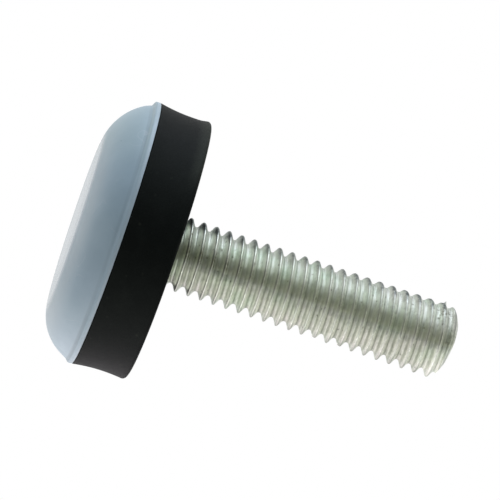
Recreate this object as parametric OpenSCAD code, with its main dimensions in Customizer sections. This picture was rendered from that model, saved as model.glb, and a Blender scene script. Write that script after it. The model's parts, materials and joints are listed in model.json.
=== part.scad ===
// Threaded furniture glide.
// A hard, slippery pad slides on the floor. A rubber cushion is moulded to the pad
// and round the flat head of a steel stud, which screws up into a chair or bench leg.
// The glide stands on its pad: z = 0 is the sliding face and +Z runs up the stud.

/* [Slide pad] */
// Widest diameter of the glide, at the joint between pad and cushion
rim_d = 28.95; // [26:0.05:40]
// Thickness of the pad, from the sliding face to the cushion
pad_h = 4.6; // [3.4:0.1:5.4]
// Diameter of the flat sliding face
sole_d = 16.9; // [14:0.1:19]
// Height of the upright band round the rim
band_h = 0.8; // [0.5:0.05:1.4]
// How far the band stands out from the domed shoulder below it
band_step = 0.33; // [0.1:0.01:0.45]
// Radius that softens the lower edge of the band
band_round = 0.28; // [0.05:0.01:0.4]

/* [Rubber cushion] */
// Thickness of the cushion, from the pad to the leg
cushion_h = 5.7; // [5:0.05:12]
// Depth of the hollow that runs round the cushion's side
waist_depth = 0.305; // [0.1:0.005:0.6]
// Height of the narrowest part of the hollow above the pad
waist_h = 3.4; // [2.5:0.05:4.5]
// Radius of the cushion's upper edge
edge_round = 0.4; // [0.1:0.05:1]
// Depth of the recess round the stud, which keeps the rubber out of the thread
relief_h = 0.7; // [0.3:0.05:1.5]
// Gap between the thread's crests and the side of the recess
relief_gap = 0.5; // [0.2:0.05:1.5]

/* [Stud] */
// Length of stud that stands out of the cushion
stud_len = 31.75; // [12:0.05:60]
// Outside diameter of the thread
major_d = 7.94; // [6:0.01:9.5]
// Distance from one thread crest to the next
thread_pitch = 1.411; // [1:0.001:1.6]
// Length of the chamfer that leads the stud into its hole
lead_len = 1.25; // [0.5:0.05:2]
// Diameter of the flat on the stud's tip
tip_d = 4.8; // [3:0.1:5.5]

/* [Stud head] */
// Width across the flats of the head inside the cushion
head_af = 12.7; // [11:0.1:18]
// Thickness of the head
head_h = 2.4; // [1.5:0.1:2.8]
// Rubber left between the head and the pad
head_floor = 1.2; // [0.6:0.1:1.8]

/* [Hidden] */
$fn = 96;
hexagon = 6;

rim_r = rim_d / 2;
sole_r = sole_d / 2;
seat_z = pad_h + cushion_h;   // face of the cushion that meets the leg
tip_z = seat_z + stud_len;

// The shoulder is one arc. It leaves the sliding face flush and ends under the band.
band_z = pad_h - band_h;
shoulder_top_r = rim_r - band_step;
shoulder_r = (pow(shoulder_top_r - sole_r, 2) + pow(band_z, 2)) / (2 * band_z);

// The cushion's side is one hollow arc. It starts at the rim and is narrowest at waist_h.
waist_arc_r = (pow(waist_depth, 2) + pow(waist_h, 2)) / (2 * waist_depth);
waist_centre_r = rim_r - waist_depth + waist_arc_r;
cushion_top_r = waist_centre_r - sqrt(pow(waist_arc_r, 2) - pow(cushion_h - waist_h, 2));

// Unified thread: 60 degree flanks, an eighth of the sharp triangle cut off each crest
// and a quarter filled in at each root
flank_angle = 30;
crest_flat = thread_pitch / 8;
full_depth = thread_pitch / (2 * tan(flank_angle));
thread_depth = full_depth * 5 / 8;
major_r = major_d / 2;
minor_r = major_r - thread_depth;
ridge_base = crest_flat + 2 * thread_depth * tan(flank_angle);
thread_turns = round((stud_len - lead_len) / thread_pitch);

// The plain shank in the rubber has the size of the rod before its thread was rolled
shank_r = major_r - full_depth * 3 / 8;
head_z = pad_h + head_floor;

module shoulder_profile() {
    square([sole_r, band_z]);
    intersection() {
        translate([sole_r, 0])
            square([shoulder_top_r - sole_r, band_z]);
        translate([sole_r, shoulder_r])
            circle(shoulder_r);
    }
}

module band_profile() {
    translate([0, band_z]) {
        square([rim_r - band_round, band_h]);
        translate([0, band_round])
            square([rim_r, band_h - band_round]);
        translate([rim_r - band_round, band_round])
            circle(band_round);
    }
}

module slide_pad() {
    color([0.55, 0.61, 0.68])
        rotate_extrude() {
            shoulder_profile();
            band_profile();
        }
}

module cushion_profile() {
    difference() {
        translate([0, pad_h])
            square([rim_r, cushion_h]);
        translate([waist_centre_r, pad_h + waist_h])
            circle(waist_arc_r);
        translate([cushion_top_r - edge_round, seat_z - edge_round])
            difference() {
                square(2 * edge_round);
                circle(edge_round);
            }
    }
}

// The head is flat-sided, so that the stud can't turn in the rubber
module stud_head() {
    translate([0, 0, head_z])
        cylinder(d = head_af / cos(180 / hexagon), h = head_h, $fn = hexagon);
}

module stud_shank() {
    translate([0, 0, head_z])
        cylinder(r = shank_r, h = seat_z - head_z);
}

module thread_relief() {
    translate([0, 0, seat_z - relief_h])
        cylinder(r = major_r + relief_gap, h = 2 * relief_h);
}

module rubber_cushion() {
    color([0.09, 0.10, 0.10])
        difference() {
            rotate_extrude()
                cushion_profile();
            stud_head();
            stud_shank();
            thread_relief();
        }
}

module thread_ridge() {
    polygon([
        [0, -ridge_base / 2],
        [minor_r, -ridge_base / 2],
        [major_r, -crest_flat / 2],
        [major_r, crest_flat / 2],
        [minor_r, ridge_base / 2],
        [0, ridge_base / 2],
    ]);
}

// The thread has its true section and pitch, drawn as rings that don't climb.
// Its core runs on down through the shank into the head, so the stud is one solid.
module thread_profile() {
    intersection() {
        union() {
            translate([0, head_z])
                square([minor_r, tip_z - head_z]);
            for (turn = [0 : thread_turns - 1])
                translate([0, seat_z + (turn + 0.5) * thread_pitch])
                    thread_ridge();
        }
        polygon([
            [0, head_z],
            [major_r, head_z],
            [major_r, tip_z - lead_len],
            [tip_d / 2, tip_z],
            [0, tip_z],
        ]);
    }
}

module threaded_stud() {
    color([0.66, 0.68, 0.65]) {
        stud_head();
        stud_shank();
        rotate_extrude()
            thread_profile();
    }
}

slide_pad();
rubber_cushion();
threaded_stud();
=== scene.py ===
"""Looks of a threaded furniture glide.

A domed slide pad, the rubber cushion moulded to it, and a zinc-plated steel stud with a rolled
right-hand thread. Lengths are metres. The glide stands on its pad: z = 0 is the sliding face and
+Z runs up the stud.
"""

from __future__ import annotations

import json
import logging
import math
from collections.abc import Callable, Iterable
from dataclasses import dataclass, field
from enum import Enum
from typing import Any, ClassVar

import bmesh
import bpy
from mathutils import Matrix, Vector, noise

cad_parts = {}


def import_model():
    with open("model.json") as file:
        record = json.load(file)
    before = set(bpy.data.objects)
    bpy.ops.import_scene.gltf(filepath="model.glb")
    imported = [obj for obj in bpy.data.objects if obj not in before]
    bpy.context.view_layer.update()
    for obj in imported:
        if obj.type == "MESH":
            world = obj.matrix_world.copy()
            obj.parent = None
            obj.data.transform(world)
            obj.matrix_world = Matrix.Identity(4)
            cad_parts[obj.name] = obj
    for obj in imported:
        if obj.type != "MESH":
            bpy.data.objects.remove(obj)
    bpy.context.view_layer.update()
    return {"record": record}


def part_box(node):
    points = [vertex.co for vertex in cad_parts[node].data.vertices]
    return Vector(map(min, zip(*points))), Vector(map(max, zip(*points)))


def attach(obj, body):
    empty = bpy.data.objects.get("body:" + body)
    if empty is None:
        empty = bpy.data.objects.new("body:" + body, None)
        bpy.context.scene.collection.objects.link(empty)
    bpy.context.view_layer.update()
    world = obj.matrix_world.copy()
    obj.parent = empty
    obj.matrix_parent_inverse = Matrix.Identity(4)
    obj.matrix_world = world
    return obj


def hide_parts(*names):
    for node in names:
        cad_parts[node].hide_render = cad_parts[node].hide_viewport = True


LOG = logging.getLogger("furniture_glide")
MM = 0.001
FULL_TURN = 2.0 * math.pi
WELD = 1e-8
STACK_WELD = 1e-6
SHARP_ANGLE = 40.0

Colour = tuple[float, float, float]
Vector3 = tuple[float, float, float]
Range = tuple[float, float]
WHITE: Colour = (1.0, 1.0, 1.0)


class Piece(Enum):
    """The pieces of the glide, by the names of their solids."""

    PAD = "slide_pad"
    CUSHION = "rubber_cushion"
    STUD = "threaded_stud"


class Side(Enum):
    """The two sides of the glide that its painted light and shade and its wear tell apart, by the sign
    of X.
    """

    PLUS_X = 1.0
    MINUS_X = -1.0


# ---------------------------------------------------------------------------------------------
# Shader sums
# ---------------------------------------------------------------------------------------------


class Value:
    """A number that varies over a surface, for use in Python sums."""

    def __init__(self, sheet: "ShaderSheet", socket: bpy.types.NodeSocket) -> None:
        """Wraps an output socket.

        Args:
            sheet: The sheet that the socket's node is on.
            socket: The output that carries the number.
        """
        self.sheet = sheet
        self.socket = socket

    def _sum(self, operation: str, first: Any, second: Any) -> "Value":
        """Adds one Math node and returns its result."""
        made = self.sheet.node("ShaderNodeMath", {"operation": operation}, {0: first, 1: second})
        return Value(self.sheet, made.outputs[0])

    def __add__(self, other: Value | float) -> "Value":
        """Self plus other."""
        return self._sum("ADD", self, other)

    __radd__ = __add__

    def __sub__(self, other: Value | float) -> "Value":
        """Self minus other."""
        return self._sum("SUBTRACT", self, other)

    def __rsub__(self, other: float) -> "Value":
        """Other minus self."""
        return self._sum("SUBTRACT", other, self)

    def __mul__(self, other: Value | float) -> "Value":
        """Self times other."""
        return self._sum("MULTIPLY", self, other)

    __rmul__ = __mul__

    def between(self, low: float, high: float) -> "Value":
        """Rises from 0 at low to 1 at high, smoothly and held at both ends.

        Args:
            low: The number that gives 0.
            high: The number that gives 1.

        Returns:
            The eased number.
        """
        made = self.sheet.node(
            "ShaderNodeMapRange",
            {"interpolation_type": "SMOOTHSTEP", "clamp": True},
            {"Value": self, "From Min": low, "From Max": high},
        )
        return Value(self.sheet, made.outputs["Result"])


@dataclass(frozen=True)
class Grain:
    """Cloudy noise: clouds to a millimetre, octaves of finer noise, and the strength of those."""

    per_mm: float
    detail: float = 2.0
    rough: float = 0.5


@dataclass(frozen=True)
class Specks:
    """Scattered round specks: cells to a millimetre, a speck's radius in its cell, its solid share."""

    per_mm: float
    size: float
    solid: float = 0.4


@dataclass(frozen=True)
class Streaks:
    """Fine lines: changes to a millimetre along them, lines to a millimetre across, finer noise."""

    along: float
    across: float
    detail: float = 3.0
    rough: float = 0.6


@dataclass(frozen=True)
class Amount:
    """How strong a mark is: everywhere, and how much stronger where a mask is 1."""

    plain: float
    more: float

    def where(self, mask: Value) -> Value:
        """Gives the strength over the surface."""
        return self.plain + self.more * mask


class ShaderSheet:
    """The node sheet of one material or of the world."""

    def __init__(self, tree: bpy.types.NodeTree) -> None:
        """Clears a sheet.

        Args:
            tree: The node tree to fill.
        """
        self.tree = tree
        tree.nodes.clear()

    def node(
        self,
        kind: str,
        settings: dict[str, Any] | None = None,
        inputs: dict[int | str, Any] | None = None,
    ) -> bpy.types.Node:
        """Adds a node.

        Args:
            kind: The node's Blender type.
            settings: Properties of the node, set first.
            inputs: Values or links for its sockets, by name or by number.

        Returns:
            The new node.
        """
        made = self.tree.nodes.new(kind)
        for name, value in (settings or {}).items():
            setattr(made, name, value)
        for name, value in (inputs or {}).items():
            source = value.socket if isinstance(value, Value) else value
            if isinstance(source, bpy.types.NodeSocket):
                self.tree.links.new(source, made.inputs[name])
            else:
                made.inputs[name].default_value = source
        return made

    def mix(self, amount: Value | float, first: Any, second: Any) -> bpy.types.NodeSocket:
        """Mixes two colours.

        Args:
            amount: 0 for the first colour, 1 for the second.
            first: A colour or a colour socket.
            second: A colour or a colour socket.

        Returns:
            The socket that carries the mixed colour.
        """
        made = self.node(
            "ShaderNodeMix",
            {"data_type": "RGBA"},
            {"Factor": amount, 6: opaque(first), 7: opaque(second)},
        )
        return made.outputs[2]

    def mix_shaders(
        self, amount: Value | bpy.types.NodeSocket, first: bpy.types.Node, second: bpy.types.Node
    ) -> bpy.types.Node:
        """Mixes two shaders.

        Args:
            amount: 0 for the first shader, 1 for the second.
            first: A shader node.
            second: A shader node.

        Returns:
            The node that carries the mixed shader.
        """
        return self.node(
            "ShaderNodeMixShader", None, {0: amount, 1: first.outputs[0], 2: second.outputs[0]}
        )

    def ray(self, kind: str) -> Value:
        """1 for rays of a kind and 0 for the others, by the name of Light Path's output."""
        return Value(self, self.node("ShaderNodeLightPath").outputs[kind])

    def place(self) -> bpy.types.NodeSocket:
        """Gives the point in the piece's own frame."""
        return self.node("ShaderNodeTexCoord").outputs["Object"]

    def _part(self, vector: bpy.types.NodeSocket, axis: str) -> Value:
        """Takes one number out of a vector."""
        made = self.node("ShaderNodeSeparateXYZ", None, {"Vector": vector})
        return Value(self, made.outputs[axis])

    def above(self, heights: Range) -> Value:
        """0 up to the first of two heights over the sliding face, and 1 from the second."""
        return self._part(self.place(), "Z").between(*heights)

    def towards(self, side: Side, reach: Range) -> Value:
        """1 far out on one side of the YZ plane, and 0 near the plane and beyond it.

        Args:
            side: The side.
            reach: Distances from the plane, in metres, that give 0 and 1.

        Returns:
            The mask.
        """
        near, far = reach
        return self._part(self.place(), "X").between(side.value * near, side.value * far)

    def distance(self, spot: Vector3) -> Value:
        """Gives how far the point lies from a spot of the piece, in metres.

        Args:
            spot: The spot, in the piece's own frame.

        Returns:
            The distance.
        """
        settings = {"operation": "DISTANCE"}
        made = self.node("ShaderNodeVectorMath", settings, {0: self.place(), 1: spot})
        return Value(self, made.outputs["Value"])

    def _noise(
        self, point: bpy.types.NodeSocket, scale: float, detail: float, rough: float
    ) -> Value:
        """Adds a noise texture.

        Args:
            point: The socket that carries the point.
            scale: Clouds to a unit of the point's lengths.
            detail: Octaves of finer noise.
            rough: How strong those are.

        Returns:
            The noise, from 0 to 1.
        """
        inputs = {"Vector": point, "Scale": scale, "Detail": detail, "Roughness": rough}
        return Value(self, self.node("ShaderNodeTexNoise", None, inputs).outputs["Fac"])

    def grain(self, grain: Grain) -> Value:
        """Gives cloudy noise from 0 to 1 in the piece's own frame."""
        return self._noise(self.place(), grain.per_mm / MM, grain.detail, grain.rough)

    def streak(self, path: str, streaks: Streaks) -> Value:
        """Gives fine lines from 0 to 1 that follow a UV map in millimetres.

        Args:
            path: The UV map's name.
            streaks: How close and how broken the lines are.

        Returns:
            The noise.
        """
        stretch = (streaks.along, streaks.across, 1.0)
        laid = self.node("ShaderNodeMapping", None, {"Vector": self._path(path), "Scale": stretch})
        return self._noise(laid.outputs["Vector"], 1.0, streaks.detail, streaks.rough)

    def _path(self, path: str) -> bpy.types.NodeSocket:
        """Reads a UV map."""
        return self.node("ShaderNodeUVMap", {"uv_map": path}).outputs["UV"]

    def across(self, path: str) -> Value:
        """Gives how far the point lies across a UV map's lines, in millimetres."""
        return self._part(self._path(path), "Y")

    def specks(self, specks: Specks) -> Value:
        """Gives a mask that is 1 at a speck's middle and 0 between specks.

        Args:
            specks: How close the specks lie, and how large they are.

        Returns:
            The mask.
        """
        made = self.node(
            "ShaderNodeTexVoronoi",
            {"feature": "F1"},
            {"Vector": self.place(), "Scale": specks.per_mm / MM},
        )
        solid = specks.solid * specks.size
        return 1.0 - Value(self, made.outputs["Distance"]).between(solid, specks.size)

    def attribute(self, name: str) -> Value:
        """Reads a number that the mesh carries."""
        made = self.node("ShaderNodeAttribute", {"attribute_name": name})
        return Value(self, made.outputs["Fac"])

    def bump(self, height: Value, depth: float) -> bpy.types.NodeSocket:
        """Turns a height into a normal.

        Args:
            height: The height, from 0 to 1.
            depth: What a height of 1 measures, in metres.

        Returns:
            The socket that carries the normal.
        """
        inputs = {"Strength": 1.0, "Distance": depth, "Height": height}
        return self.node("ShaderNodeBump", None, inputs).outputs["Normal"]


def opaque(colour: Any) -> Any:
    """Adds an alpha of 1 to a plain colour, and leaves a socket alone."""
    if isinstance(colour, tuple) and len(colour) == 3:
        return (*colour, 1.0)
    return colour


# ---------------------------------------------------------------------------------------------
# Finishes
# ---------------------------------------------------------------------------------------------


@dataclass(frozen=True)
class PadPlastic:
    """Hard blue-grey fluoropolymer, satin from the mould and rubbed smooth on the sole."""

    tone: Colour = (0.272, 0.364, 0.420)
    pale: Colour = (0.298, 0.393, 0.448)
    # Pale tone for real scratches, and for a painted highlight on the band's edge and painted light on
    # the +X shoulder.
    pale_scratch_and_light: Colour = (0.560, 0.600, 0.620)
    # Paler, yellower tone painted on the two X sides as the light that falls there.
    side_light_tone: Colour = (0.500, 0.600, 0.440)
    # Dark tone for the real specks, and for painted shade in the step and at the sole's edge.
    dirt_and_shade: Colour = (0.110, 0.130, 0.140)

    cloud: Grain = Grain(0.35, detail=3.0)
    fine: Grain = Grain(6.0, detail=3.0, rough=0.6)
    dimples: Specks = Specks(0.55, 0.16)
    dirt_specks: Specks = Specks(0.40, 0.045)
    scratch_path: Grain = Grain(0.28, detail=1.0)
    scratch_break: Grain = Grain(0.45, detail=0.0)
    scratch_width: float = 0.00003
    pale_level: Range = (0.3, 0.7)
    break_level: Range = (0.60, 0.68)

    side_x: Range = (5.0 * MM, 11.0 * MM)
    rubbed_z: Range = (0.0, 0.35 * MM)
    lit_shoulder_z: Range = (0.2 * MM, 2.4 * MM)
    sole_edge_z: Range = (0.60 * MM, 1.50 * MM)
    seam_z: Range = (3.56 * MM, 3.74 * MM)
    seam_end_z: Range = (3.92 * MM, 4.10 * MM)
    edge_z: Range = (4.14 * MM, 4.42 * MM)

    speck_dirt: float = 0.35
    # Painted shade in the step under the band, and at the sole's edge.
    seam_shade: float = 0.11
    seam_shade_plus_x: float = 0.18
    seam_shade_minus_x: float = 0.08
    sole_edge_shade: float = 0.16
    # How much painted side light the +X and -X sides take.
    side_light_plus_x: float = 0.07
    side_light_minus_x: float = 0.12
    # Painted highlight on the band's edge, painted light on the +X shoulder, and paler real scratches.
    edge_highlight: float = 0.22
    shoulder_light: float = 0.34
    scratch_pale: float = 0.17

    ior: float = 1.45
    satin: float = 0.40
    satin_fine: float = 0.15
    rubbed: float = 0.10
    bump_fine: float = 0.25
    bump_rubbed_off: float = 0.7
    bump_dimple: float = 0.5
    bump_scratch: float = 0.12
    bump_depth: float = 0.02 * MM

    def material(self) -> bpy.types.Material:
        """Makes the material.

        Returns:
            The material.
        """
        made = new_material("pad_plastic")
        sheet = ShaderSheet(made.node_tree)
        fine = sheet.grain(self.fine)
        scratch = self._scratches(sheet)
        paled = sheet.grain(self.cloud).between(*self.pale_level)
        colour = sheet.mix(paled, self.tone, self.pale)
        # Painted light on the two X sides.
        colour = sheet.mix(self._side_light(sheet), colour, self.side_light_tone)
        # Painted shade in the step and at the sole's edge, with real dark specks.
        dirt_and_shade_mask = self._painted_shade(sheet) + self.speck_dirt * sheet.specks(self.dirt_specks)
        colour = sheet.mix(dirt_and_shade_mask, colour, self.dirt_and_shade)
        # Painted highlight and painted light, with real scratches.
        scratch_and_light = self._painted_light(sheet) + self.scratch_pale * scratch
        colour = sheet.mix(scratch_and_light, colour, self.pale_scratch_and_light)
        rubbed = 1.0 - sheet.above(self.rubbed_z)
        rough = self.satin + self.satin_fine * fine - (self.satin - self.rubbed) * rubbed
        height = self.bump_fine * fine * (1.0 - self.bump_rubbed_off * rubbed)
        height = height + self.bump_dimple * sheet.specks(self.dimples) + self.bump_scratch * scratch
        return finish_surface(
            made,
            sheet,
            {
                "Base Color": colour,
                "Roughness": rough,
                "Normal": sheet.bump(height, self.bump_depth),
                "IOR": self.ior,
            },
        )

    def _side_light(self, sheet: ShaderSheet) -> Value:
        """Painted light: the plastic is paler and yellower on its two X sides, more so on the -X one.

        Args:
            sheet: The material's node sheet.

        Returns:
            How much painted light each point takes.
        """
        plus_x = sheet.towards(Side.PLUS_X, self.side_x)
        minus_x = sheet.towards(Side.MINUS_X, self.side_x)
        return self.side_light_plus_x * plus_x + self.side_light_minus_x * minus_x

    def _painted_shade(self, sheet: ShaderSheet) -> Value:
        """Painted shade: in the step under the band, more on the two X sides, and on the sole's edge
        off the two sides.

        Args:
            sheet: The material's node sheet.

        Returns:
            How much painted shade each point takes.
        """
        plus_x = sheet.towards(Side.PLUS_X, self.side_x)
        minus_x = sheet.towards(Side.MINUS_X, self.side_x)
        seam = sheet.above(self.seam_z) * (1.0 - sheet.above(self.seam_end_z))
        held = self.seam_shade + self.seam_shade_plus_x * plus_x + self.seam_shade_minus_x * minus_x
        sole_edge = (1.0 - sheet.above(self.sole_edge_z)) * (1.0 - plus_x - minus_x)
        return held * seam + self.sole_edge_shade * sole_edge

    def _painted_light(self, sheet: ShaderSheet) -> Value:
        """Painted highlight on the band's top edge, and painted light on the shoulder near the sole on
        the +X side.
        """
        shoulder = sheet.towards(Side.PLUS_X, self.side_x) * (1.0 - sheet.above(self.lit_shoulder_z))
        return self.edge_highlight * sheet.above(self.edge_z) + self.shoulder_light * shoulder

    def _scratches(self, sheet: ShaderSheet) -> Value:
        """Curved hairlines, which follow a cloud's middle level and show only here and there.

        Args:
            sheet: The material's node sheet.

        Returns:
            1 on a scratch and 0 beside it.
        """
        off_path = sheet.grain(self.scratch_path) - 0.5
        hairline = 1.0 - (off_path * off_path).between(0.0, self.scratch_width)
        return hairline * sheet.grain(self.scratch_break).between(*self.break_level)


@dataclass(frozen=True)
class CushionRubber:
    """Matt black moulded rubber with a fine pebble, a little dust, and a painted sheen on the -X side
    of its top edge.
    """

    black: Colour = (0.0022, 0.0028, 0.0026)
    dust: Colour = (0.0046, 0.0056, 0.0050)
    # Pale tone for specks of dust, and for a painted sheen on the -X side of the top edge.
    pale_dust_and_sheen: Colour = (0.0400, 0.0440, 0.0340)
    sheen: Colour = (0.88, 1.0, 0.90)

    cloud: Grain = Grain(0.5, detail=4.0)
    pebble: Grain = Grain(7.0, detail=3.0, rough=0.65)
    flecks: Specks = Specks(0.60, 0.13)
    dust_level: Range = (0.45, 0.8)
    fleck_level: Range = (0.35, 0.60)

    # Where the painted sheen lies, with dust, on the top edge's -X side.
    sheen_edge_x: Range = (6.0 * MM, 9.5 * MM)
    sheen_edge_z: Range = (8.8 * MM, 9.9 * MM)
    edge_dust_and_sheen: Amount = Amount(0.25, more=0.36)
    fleck_dust: float = 0.22

    ior: float = 1.16
    matt: Amount = Amount(0.52, more=0.20)
    bump_depth: float = 0.03 * MM

    def material(self) -> bpy.types.Material:
        """Makes the material.

        Returns:
            The material.
        """
        made = new_material("cushion_rubber")
        sheet = ShaderSheet(made.node_tree)
        cloud = sheet.grain(self.cloud)
        pebble = sheet.grain(self.pebble)
        colour = sheet.mix(cloud.between(*self.dust_level), self.black, self.dust)
        # Painted sheen with dust on the -X side of the top edge.
        lit_edge = sheet.above(self.sheen_edge_z) * sheet.towards(Side.MINUS_X, self.sheen_edge_x)
        flecks = sheet.specks(self.flecks) * cloud.between(*self.fleck_level)
        dust_and_sheen = lit_edge * self.edge_dust_and_sheen.where(pebble) + self.fleck_dust * flecks
        colour = sheet.mix(dust_and_sheen, colour, self.pale_dust_and_sheen)
        return finish_surface(
            made,
            sheet,
            {
                "Base Color": colour,
                "Roughness": self.matt.where(pebble),
                "Normal": sheet.bump(pebble, self.bump_depth),
                "IOR": self.ior,
                "Specular Tint": opaque(self.sheen),
            },
        )


@dataclass(frozen=True)
class ZincPlate:
    """Satin zinc plate on rolled steel, brighter on the flanks than on the crests and in the roots.

    Ranges that end in _v lie across the thread, in millimetres from the crest towards the tip.
    Those that end in _depth are shares of the groove's depth, and those in _level are levels of
    a noise.
    """

    # The tones that change by side, across the crest and towards the tip hold painted highlights and
    # painted shade.
    crest: Colour = (0.385, 0.403, 0.340)
    # Painted highlight on the crest's side towards the tip.
    crest_lit: Colour = (0.640, 0.670, 0.570)
    flank: Colour = (0.665, 0.700, 0.605)
    # Painted shade on the flanks near the tip and on -X.
    flank_shade: Colour = (0.490, 0.518, 0.442)
    flank_lit: Colour = (0.860, 0.880, 0.770)
    root: Colour = (0.530, 0.560, 0.475)
    # Painted shade in the roots; the crest takes this darker tone near the tip.
    root_shade: Colour = (0.300, 0.315, 0.262)
    # Pale tone for painted highlights on the crests, the flanks and the end on +X.
    highlight_tone: Colour = (0.990, 1.000, 0.910)
    green_cast: Colour = (0.480, 0.650, 0.460)
    pink_cast: Colour = (0.640, 0.575, 0.570)
    # Dark tone for worn crest tops and for painted shade on them.
    bruise_and_shade: Colour = (0.070, 0.080, 0.078)
    # Olive dark tone for real soiling and pits, and for painted shade in the stripe, near the rubber
    # and on the lead.
    soil_and_shade: Colour = (0.120, 0.124, 0.094)
    # Olive tint painted into the flag's dark reflection along the stripe.
    band_tint: Colour = (0.520, 0.545, 0.335)
    sheen: Colour = (0.62, 0.66, 0.64)

    cloud: Grain = Grain(0.6, detail=4.0)
    mottle: Grain = Grain(3.0, detail=3.0, rough=0.7)
    grit: Grain = Grain(9.0)
    patch: Grain = Grain(0.30)
    lines: Streaks = Streaks(along=0.6, across=3.4)
    hairs: Streaks = Streaks(along=0.9, across=8.0)
    pits: Specks = Specks(1.00, 0.16)
    green_level: Range = (0.50, 0.68)
    pink_level: Range = (0.32, 0.50)
    bright_level: Range = (0.50, 0.66)
    cloud_level: Range = (0.45, 0.8)
    line_level: Range = (0.35, 0.65)
    spot_level: Range = (0.36, 0.64)
    grit_level: Range = (0.35, 0.65)
    hair_level: Range = (0.52, 0.72)
    crest_top_spot_level: Range = (0.38, 0.62)
    stripe_spot_level: Range = (0.40, 0.60)
    lead_level: Range = (0.44, 0.56)

    # Side masks for painted light and painted shade on the two X sides.
    lit_side_x: Range = (0.0, 1.2 * MM)
    outer_crest_x: Range = (2.9 * MM, 3.7 * MM)
    stripe_x: Range = (0.6 * MM, 1.9 * MM)
    foot_outer_x: Range = (2.0 * MM, 3.0 * MM)
    foot_inner_x: Range = (-0.6 * MM, 0.2 * MM)
    foot_z: Range = (12.0 * MM, 19.0 * MM)
    off_rubber_z: Range = (13.0 * MM, 26.0 * MM)
    tip_z: Range = (22.0 * MM, 38.0 * MM)
    end_z: Range = (39.3 * MM, 40.3 * MM)
    lead_z: Range = (40.7 * MM, 41.3 * MM)
    scar_at: Vector3 = (-3.10 * MM, -2.30 * MM, 40.30 * MM)
    scar_r: Range = (0.385 * MM, 1.10 * MM)

    tip_side_v: Range = (-0.35, 0.35)
    past_crest_v: Range = (-0.06, 0.24)
    beyond_crest_v: Range = (0.0, 0.35)
    foot_side_root_v: Range = (-0.70, -0.50)
    stripe_crest_v: Range = (-0.14, 0.04)
    stripe_crest_end_v: Range = (0.20, 0.36)
    off_crest_depth: Range = (0.02, 0.36)
    below_top_depth: Range = (0.05, 0.75)
    in_root_depth: Range = (0.53, 0.92)
    rough_root_depth: Range = (0.6, 1.0)

    cast: float = 0.20
    crest_bright: float = 0.45
    crest_highlight: float = 0.28
    # Painted shade and painted highlights on the flanks, by side.
    flank_shade_minus_x: float = 0.8
    flank_highlight_plus_x: Amount = Amount(0.35, more=0.30)
    flank_highlight_minus_x: float = 0.75
    root_lit_minus_x: float = 0.4
    root_shade_plus_x: float = 0.2
    root_lopsided: Amount = Amount(0.25, more=0.13)
    # Painted shade on the crest tops, broken into spots.
    outer_crest_shade: Amount = Amount(0.37, more=0.58)
    foot_crest_shade: float = 0.32
    crest_shade_minus_x: Amount = Amount(0.12, more=0.30)
    crest_shade_plus_x: Amount = Amount(0.10, more=0.30)
    cloud_soil: float = 0.25
    pit_soil: float = 0.65
    line_soil: float = 0.18
    spot_soil: float = 0.24
    grit_soil: float = 0.16
    hair_soil: Amount = Amount(0.12, more=0.14)
    # Painted shade on the crests in the stripe.
    stripe_shade: Amount = Amount(0.08, more=0.16)
    stripe_foot_shade: Amount = Amount(0.18, more=0.45)
    # Painted shade on the first threads over the rubber.
    foot_shade: float = 0.24
    stripe_tint: float = 0.3
    # Painted light on the end on +X.
    end_light: float = 0.26
    # Painted shade on the lead in the stripe.
    lead_shade: Amount = Amount(0.08, more=0.36)
    scar_soil: float = 0.85

    metallic: float = 0.75
    satin: float = 0.24
    satin_off_rubber: float = 0.10
    satin_streak: float = 0.14
    satin_root: float = 0.10
    bump_streak: float = 0.8
    bump_mottle: float = 0.6
    bump_cloud: float = 0.3
    bump_depth: float = 0.018 * MM

    def material(self) -> bpy.types.Material:
        """Makes the material.

        Returns:
            The material.
        """
        made = new_material("zinc_plate")
        sheet = ShaderSheet(made.node_tree)
        cloud = sheet.grain(self.cloud)
        mottle = sheet.grain(self.mottle)
        streak = sheet.streak(ThreadedStud.PATH, self.lines)
        pits = sheet.specks(self.pits)
        # The plate's tones, with painted highlights and painted shade.
        colour = self._cast(sheet, self._plate(sheet, mottle))
        # Painted shade on the crest tops by side and near the rubber, in spots with wear.
        colour = sheet.mix(self._crest_top_shade(sheet, mottle), colour, self.bruise_and_shade)
        # Real soiling and pits, then painted shade in the stripe and near the rubber.
        soil_and_shade_mask = self.cloud_soil * cloud.between(*self.cloud_level) + self.pit_soil * pits
        soil_and_shade_mask = soil_and_shade_mask + self._textured(sheet, streak, mottle) + self._stripe_shade(sheet, mottle)
        colour = sheet.mix(soil_and_shade_mask + self._foot_shade(sheet), colour, self.soil_and_shade)
        # Painted olive tint in the flag's dark reflection.
        colour = sheet.mix(self.stripe_tint * self._stripe(sheet), colour, self.band_tint)
        colour = sheet.mix(self._end_lit(sheet), colour, self.highlight_tone)
        # Painted shade on the lead, and soiling in the scar.
        colour = sheet.mix(self._end_soil_and_shade(sheet, mottle), colour, self.soil_and_shade)
        in_root = sheet.attribute(ThreadedStud.GROOVE).between(*self.rough_root_depth)
        rough = self.satin + self.satin_off_rubber * sheet.above(self.off_rubber_z)
        rough = rough + self.satin_streak * streak + self.satin_root * in_root
        height = self.bump_streak * streak + self.bump_mottle * mottle
        height = height + self.bump_cloud * cloud - pits
        return finish_surface(
            made,
            sheet,
            {
                "Base Color": colour,
                "Metallic": self.metallic,
                "Specular Tint": opaque(self.sheen),
                "Roughness": rough,
                "Normal": sheet.bump(height, self.bump_depth),
            },
        )

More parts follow.
